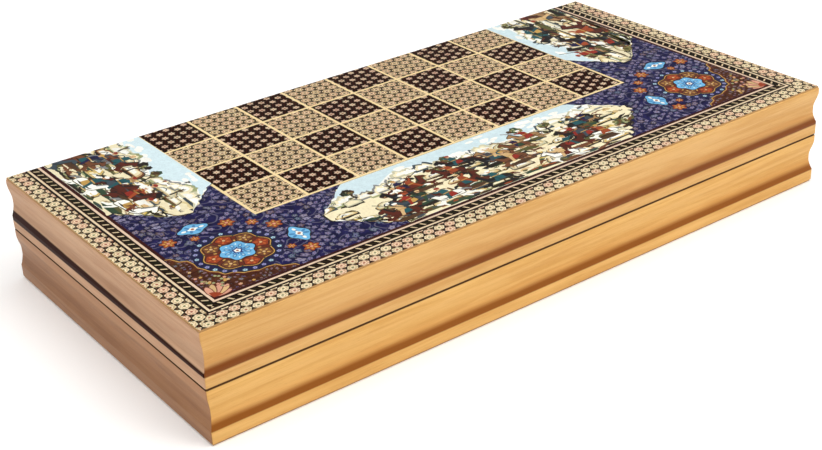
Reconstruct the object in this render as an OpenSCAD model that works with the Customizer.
// Folding games case: a chessboard half on each outer face, a backgammon
// board inside, and the backgammon men and dice in the lower tray.
// X runs along the case, +Y is the hinge side, +Z is up.
// The origin is at the middle of the resting face. The case is closed.

/* [Case] */
// Length of the case, along X
case_l = 500; // [480:1:520]
// Depth of the closed case, from the front face to the hinge face
case_w = 250; // [240:1:260]
// Height of one half
half_h = 36.5; // [34:0.5:40]
// Gap between the two halves when closed
part_gap = 0.4; // [0.3:0.1:0.8]
// Thickness of the rails
rail_t = 16; // [14:0.5:18]
// Depth of the cove that runs round both halves
cove_r = 2.2; // [1:0.1:3]
// Thickness of the panel that closes each half
panel_t = 4; // [3:0.5:6]
// Width of the rebate that holds the panel
rebate_w = 8; // [5:0.5:9]

/* [Inlay] */
// Thickness of the outer inlay sheets
veneer_t = 1; // [0.8:0.1:1.5]
// Step from the rail's outer face to the edge of the inlay
veneer_inset = 0.8; // [0.5:0.1:1.5]
// Side of one chess square
square = 38.5; // [36:0.5:40]
// Width of the cream line between the squares
line_w = 2; // [1:0.1:3]
// Distance from the front face to the chessboard
front_border = 98; // [94:1:100]
// Width of the star strip at the outer edge
star_w = 12.6; // [12:0.1:15]
// Width of the lined strip inside the star strip
lines_w = 12.8; // [11:0.1:14]

/* [Playing side] */
// Thickness of the inner inlay sheets
inner_t = 0.8; // [0.6:0.1:1.2]
// Length of a point
point_l = 186; // [150:1:195]
// Part of its lane that a point's base covers
point_fill = 0.92; // [0.8:0.01:0.98]

/* [Men and dice] */
// Diameter of a man
man_d = 34; // [30:0.5:34]
// Thickness of a man
man_h = 9; // [7:0.5:11]
// Side of a die
die_s = 14; // [12:0.5:16]

/* [Hinges] */
// Distance of each hinge's middle from the middle of the case
hinge_x = 160; // [120:1:190]
// Length of a hinge
hinge_len = 44; // [40:1:50]
// Radius of the knuckles
knuckle_r = 3; // [2.6:0.1:3.4]
// Radius of the hinge pin
pin_r = 1.2; // [1:0.1:1.4]
// Thickness of a leaf
leaf_t = 1.4; // [1.2:0.1:1.8]
// Width of a leaf, from the hinge face
leaf_w = 12; // [10.5:0.5:13]

/* [Hidden] */
$fn = 48;
// distance of the hinge axis behind the hinge face
axis_off = 0.2;
total_h = 2*half_h + part_gap;
zp = total_h/2;
up_z = half_h + part_gap;
// front face, hinge face and hinge axis, centred with the knuckles
yf = -(case_w + axis_off + knuckle_r)/2;
yb = yf + case_w;
ya = yb + axis_off;
xr = case_l/2;
yc0 = yf + front_border;
xc0 = -4*square;
x_in = xr - rail_t;
y_in0 = yf + rail_t;
y_in1 = yb - rail_t;
lane = (y_in1 - y_in0)/6;
knuckles = 5;
kgap = 0.3;
klen = (hinge_len - (knuckles - 1)*kgap)/knuckles;
clear_r = knuckle_r + 0.4;
screw_y = -(axis_off + leaf_w + clear_r)/2;
screw_dx = 15.5;
man_z = veneer_t + panel_t + inner_t + 0.3;
man_pitch = man_d + 0.5;
man_x = x_in - 0.8 - man_d/2;
eps = 0.01;

// ---- the moulded section ------------------------------------------------

// how far the outer face lies behind the outermost plane, d below the top
function cove(d) =
  d <= 4 ? 0 :
  d < 16 ? cove_r*(1 - cos(180*(d - 4)/12))/2 :
  d <= 19 ? cove_r :
  d < 27 ? cove_r*(1 - pow((d - 19)/8, 1.5)) : 0;

cove_d = [4, 6, 8, 10, 12, 14, 16, 19, 21, 23, 25, 27];

// the section of a moulded rail: x inwards from the outer face, y upwards
module rail_section(up) {
  z1 = up ? half_h - veneer_t : half_h;
  z0 = up ? 0 : veneer_t;
  outer = concat([[0.7, z1], [0, z1 - 0.9]],
                 [for (d = cove_d) [cove(d), half_h - d]],
                 [[0, z0 + 0.7], [0.6, z0]]);
  polygon(concat(outer, [[rail_t, z0], [rail_t, z1]]));
}

// the space that the panel and its rebate take out of the rails
module panel_room(up)
  translate([-xr + rebate_w, yf + rebate_w, up ? total_h - veneer_t - panel_t : veneer_t - 1])
    cube([case_l - 2*rebate_w, case_w - 2*rebate_w, panel_t + 1]);

module front_rail(up) difference() {
  translate([0, 0, up ? up_z : 0]) intersection() {
    translate([-xr, yf, 0]) rotate([90, 0, 90])
      linear_extrude(case_l) rail_section(up);
    translate([0, 0, -1]) linear_extrude(half_h + 2)
      polygon([[-xr, yf], [xr, yf], [xr - 20, yf + 20], [-xr + 20, yf + 20]]);
  }
  panel_room(up);
}

module left_rail(up) difference() {
  translate([0, 0, up ? up_z : 0]) intersection() {
    translate([-xr, yb, 0]) rotate([90, 0, 0])
      linear_extrude(case_w) rail_section(up);
    translate([0, 0, -1]) linear_extrude(half_h + 2)
      polygon([[-xr, yf], [-xr + 20, yf + 20], [-xr + 20, yb + 1], [-xr, yb + 1]]);
  }
  panel_room(up);
}

// positions of the two hinges and of a leaf's screws
module at_hinges() for (x = [-hinge_x, hinge_x]) translate([x, ya, zp]) children();
module at_screws() for (x = [-screw_dx, 0, screw_dx]) translate([x, screw_y, 0]) children();

// plain rail on the hinge side, with room for the leaves and the knuckles
module hinge_rail(up) {
  z0 = up ? up_z : veneer_t;
  z1 = up ? total_h - veneer_t : half_h;
  s = up ? 1 : -1;
  difference() {
    translate([-x_in, y_in1, z0]) cube([2*x_in, rail_t, z1 - z0]);
    panel_room(up);
    at_hinges() {
      rotate([0, 90, 0]) cylinder(r = clear_r, h = hinge_len + 2, center = true);
      translate([-hinge_len/2 - 0.1, -axis_off - leaf_w - 0.1, up ? -1 : -part_gap/2 - leaf_t])
        cube([hinge_len + 0.2, leaf_w + 2, part_gap/2 + leaf_t + 1]);
      at_screws() translate([0, 0, up ? 0 : -12])
        cylinder(r = 0.9, h = 12);
    }
  }
}

// ---- panels and outer inlay ---------------------------------------------

// moves a sheet of thickness t, z0 above the resting face, to its half
module sheet(up, z0, t) translate([0, 0, up ? total_h - z0 - t : z0]) linear_extrude(t) children();

module panel(up) sheet(up, veneer_t, panel_t)
  translate([-xr + rebate_w, yf + rebate_w]) square([case_l - 2*rebate_w, case_w - 2*rebate_w]);

// three mitred strips between the distances a and b from the outer faces
module strips(up, a, b) sheet(up, 0, veneer_t) {
  polygon([[-xr + a, yf + a], [xr - a, yf + a], [xr - b, yf + b], [-xr + b, yf + b]]);
  for (s = [-1, 1])
    polygon([[s*(xr - a), yf + a + eps], [s*(xr - b), yf + b + eps], [s*(xr - b), yb], [s*(xr - a), yb]]);
}

b0 = veneer_inset;
b1 = b0 + star_w;
b2 = b1 + lines_w;

module painted_field(up) sheet(up, 0, veneer_t) difference() {
  translate([-xr + b2, yf + b2]) square([case_l - 2*b2, case_w - b2]);
  translate([xc0 - line_w/2, yc0 - line_w/2]) square([8*square + line_w, case_w]);
}

// the chessboard runs off the hinge edge in its fourth row
function row_h(j) = min(square, yb - yc0 - j*square);

module one_square(i, j)
  translate([xc0 + i*square + line_w/2, yc0 + j*square + line_w/2])
    square([square - line_w, j < 3 ? square - line_w : row_h(j) - line_w/2]);

module chess_squares(up, dark) sheet(up, 0, veneer_t)
  for (i = [0:7], j = [0:3])
    if (((i + j + (up ? 0 : 1)) % 2 == 1) == dark) one_square(i, j);

module chess_lines(up) sheet(up, 0, veneer_t) difference() {
  translate([xc0 - line_w/2, yc0 - line_w/2])
    square([8*square + line_w, yb - yc0 + line_w/2]);
  for (i = [0:7], j = [0:3])
    translate([xc0 + i*square + line_w/2, yc0 + j*square + line_w/2])
      square([square - line_w, j < 3 ? square - line_w : square]);
}

// ---- the playing side ---------------------------------------------------

// point k of 6 at one end, s = -1 on the left and 1 on the right
module point(s, k)
  polygon([[s*(x_in), y_in0 + (k + 0.5 - point_fill/2)*lane],
           [s*(x_in), y_in0 + (k + 0.5 + point_fill/2)*lane],
           [s*(x_in - point_l), y_in0 + (k + 0.5)*lane]]);

module points(up, dark) sheet(up, veneer_t + panel_t, inner_t)
  for (s = [-1, 1], k = [0:5])
    if (((k + (s > 0 ? 1 : 0) + (up ? 1 : 0)) % 2 == 0) == dark) point(s, k);

module playing_surface(up) sheet(up, veneer_t + panel_t, inner_t) difference() {
  translate([-x_in, y_in0]) square([2*x_in, y_in1 - y_in0]);
  for (s = [-1, 1], k = [0:5]) point(s, k);
}

// ---- hinges -------------------------------------------------------------

// a leaf with its knuckles, about the hinge axis; own lists its knuckles
module leaf(own, bore) {
  difference() {
    union() {
      translate([-hinge_len/2, -axis_off - leaf_w, -part_gap/2 - leaf_t])
        cube([hinge_len, leaf_w + axis_off - clear_r, leaf_t]);
      for (k = own) translate([-hinge_len/2 + k*(klen + kgap), 0, 0]) {
        translate([0, -clear_r - eps, -part_gap/2 - leaf_t]) cube([klen, clear_r, leaf_t]);
        rotate([0, 90, 0]) cylinder(r = knuckle_r, h = klen);
      }
    }
    translate([-hinge_len, 0, 0]) rotate([0, 90, 0]) cylinder(r = bore, h = 2*hinge_len);
    at_screws() translate([0, 0, -part_gap/2]) {
      translate([0, 0, -leaf_t - 1]) cylinder(r = 1.25, h = leaf_t + 2);
      translate([0, 0, -1.1]) cylinder(r1 = 1.25, r2 = 2.4, h = 1.1 + eps);
    }
  }
}

module lower_leaf(x) translate([x, ya, zp]) leaf([0, 2, 4], pin_r - 0.02);
module upper_leaf(x) translate([x, ya, zp]) mirror([0, 0, 1]) leaf([1, 3], pin_r + 0.05);
module hinge_pin(x) translate([x, ya, zp]) rotate([0, 90, 0])
  cylinder(r = pin_r, h = hinge_len + 1.2, center = true);

// one countersunk screw, head up, its flat head at z = 0
module screw() difference() {
  union() {
    translate([0, 0, -1.1]) cylinder(r1 = 1.15, r2 = 2.3, h = 1.1);
    translate([0, 0, -10]) cylinder(r = 1, h = 9);
    translate([0, 0, -11]) cylinder(r1 = 0.2, r2 = 1, h = 1 + eps);
  }
  translate([-3, -0.25, -0.5]) cube([6, 0.5, 1]);
}

module screws(up) at_hinges() mirror([0, 0, up ? 1 : 0])
  at_screws() translate([0, 0, -part_gap/2 - 0.05]) screw();

// ---- men and dice -------------------------------------------------------

// a turned man: rounded rim, ring groove and dished middle
module man() rotate_extrude() {
  r = man_d/2;
  h = man_h;
  polygon([[0, 0], [r - 1, 0], [r - 0.3, 0.3], [r, 1], [r, h - 1], [r - 0.3, h - 0.3], [r - 1, h],
           [r - 3, h], [r - 3.8, h - 0.9], [r - 4.8, h - 0.9], [r - 5.6, h - 0.1],
           [r - 7.5, h - 0.1], [r - 9, h - 1.1], [0, h - 1.4]]);
}

// five men in lane k, against the left end (s = -1) or the right end (s = 1)
module men_row(s, k) for (i = [0:4])
  translate([s*(man_x - i*man_pitch), y_in0 + (k + 0.5)*lane, man_z]) man();

// a die with blunted corners and drilled spots, opposite faces adding to 7
pip = die_s*0.27;
spots = [
  [[0, 0]],
  [[-1, -1], [1, 1]],
  [[-1, -1], [0, 0], [1, 1]],
  [[-1, -1], [-1, 1], [1, -1], [1, 1]],
  [[-1, -1], [-1, 1], [0, 0], [1, -1], [1, 1]],
  [[-1, -1], [-1, 0], [-1, 1], [1, -1], [1, 0], [1, 1]]];
faces = [[0, 0, 0], [90, 0, 0], [0, 90, 0], [0, -90, 0], [-90, 0, 0], [180, 0, 0]];

module die() translate([0, 0, die_s/2]) difference() {
  intersection() {
    cube(die_s, center = true);
    sphere(r = die_s*0.72);
  }
  for (f = [0:5]) rotate(faces[f]) for (p = spots[f])
    translate([p[0]*pip, p[1]*pip, die_s/2 + 0.5]) sphere(r = 1.35);
}

// ---- nodes --------------------------------------------------------------

module lower_front_rail() color("#c88f4a") front_rail(false);
module lower_left_rail() color("#b98a62") left_rail(false);
module lower_right_rail() color("#b98a62") mirror([1, 0, 0]) left_rail(false);
module lower_hinge_rail() color("#b9834a") hinge_rail(false);
module lower_panel() color("#c9a878") panel(false);
module lower_star_border() color("#cdb184") strips(false, b0, b1);
module lower_line_border() color("#5a3a2c") strips(false, b1, b2);
module lower_painted_field() color("#3a3560") painted_field(false);
module lower_chess_squares_dark() color("#33190f") chess_squares(false, true);
module lower_chess_squares_light() color("#c9ad82") chess_squares(false, false);
module lower_chess_lines() color("#e6d2a0") chess_lines(false);
module lower_playing_surface() color("#6b3d20") playing_surface(false);
module lower_points_dark() color("#2c140c") points(false, true);
module lower_points_light() color("#dcc39a") points(false, false);

module upper_front_rail() color("#c88f4a") front_rail(true);
module upper_left_rail() color("#b98a62") left_rail(true);
module upper_right_rail() color("#b98a62") mirror([1, 0, 0]) left_rail(true);
module upper_hinge_rail() color("#b9834a") hinge_rail(true);
module upper_panel() color("#c9a878") panel(true);
module upper_star_border() color("#cdb184") strips(true, b0, b1);
module upper_line_border() color("#5a3a2c") strips(true, b1, b2);
module upper_painted_field() color("#3a3560") painted_field(true);
module upper_chess_squares_dark() color("#33190f") chess_squares(true, true);
module upper_chess_squares_light() color("#c9ad82") chess_squares(true, false);
module upper_chess_lines() color("#e6d2a0") chess_lines(true);
module upper_playing_surface() color("#6b3d20") playing_surface(true);
module upper_points_dark() color("#2c140c") points(true, true);
module upper_points_light() color("#dcc39a") points(true, false);

module left_hinge_lower_leaf() color("#c9a24a") lower_leaf(-hinge_x);
module left_hinge_upper_leaf() color("#d2ad58") upper_leaf(-hinge_x);
module left_hinge_pin() color("#8f8a80") hinge_pin(-hinge_x);
module right_hinge_lower_leaf() color("#c9a24a") lower_leaf(hinge_x);
module right_hinge_upper_leaf() color("#d2ad58") upper_leaf(hinge_x);
module right_hinge_pin() color("#8f8a80") hinge_pin(hinge_x);
module lower_hinge_screws() color("#b8923e") screws(false);
module upper_hinge_screws() color("#b8923e") screws(true);

module light_men_row_1() color("#dcb97c") men_row(-1, 0);
module light_men_row_2() color("#dcb97c") men_row(-1, 2);
module light_men_row_3() color("#dcb97c") men_row(-1, 4);
module dark_men_row_1() color("#4a2415") men_row(1, 1);
module dark_men_row_2() color("#4a2415") men_row(1, 3);
module dark_men_row_3() color("#4a2415") men_row(1, 5);
module die_1() color("#efe6d0") translate([30, y_in0 + 2.5*lane, man_z]) rotate([0, 0, 20]) die();
module die_2() color("#efe6d0") translate([-26, y_in0 + 3.5*lane, man_z]) rotate([0, 0, -14]) die();

lower_front_rail();
lower_left_rail();
lower_right_rail();
lower_hinge_rail();
lower_panel();
lower_star_border();
lower_line_border();
lower_painted_field();
lower_chess_squares_dark();
lower_chess_squares_light();
lower_chess_lines();
lower_playing_surface();
lower_points_dark();
lower_points_light();
upper_front_rail();
upper_left_rail();
upper_right_rail();
upper_hinge_rail();
upper_panel();
upper_star_border();
upper_line_border();
upper_painted_field();
upper_chess_squares_dark();
upper_chess_squares_light();
upper_chess_lines();
upper_playing_surface();
upper_points_dark();
upper_points_light();
left_hinge_lower_leaf();
left_hinge_upper_leaf();
left_hinge_pin();
right_hinge_lower_leaf();
right_hinge_upper_leaf();
right_hinge_pin();
lower_hinge_screws();
upper_hinge_screws();
light_men_row_1();
light_men_row_2();
light_men_row_3();
dark_men_row_1();
dark_men_row_2();
dark_men_row_3();
die_1();
die_2();
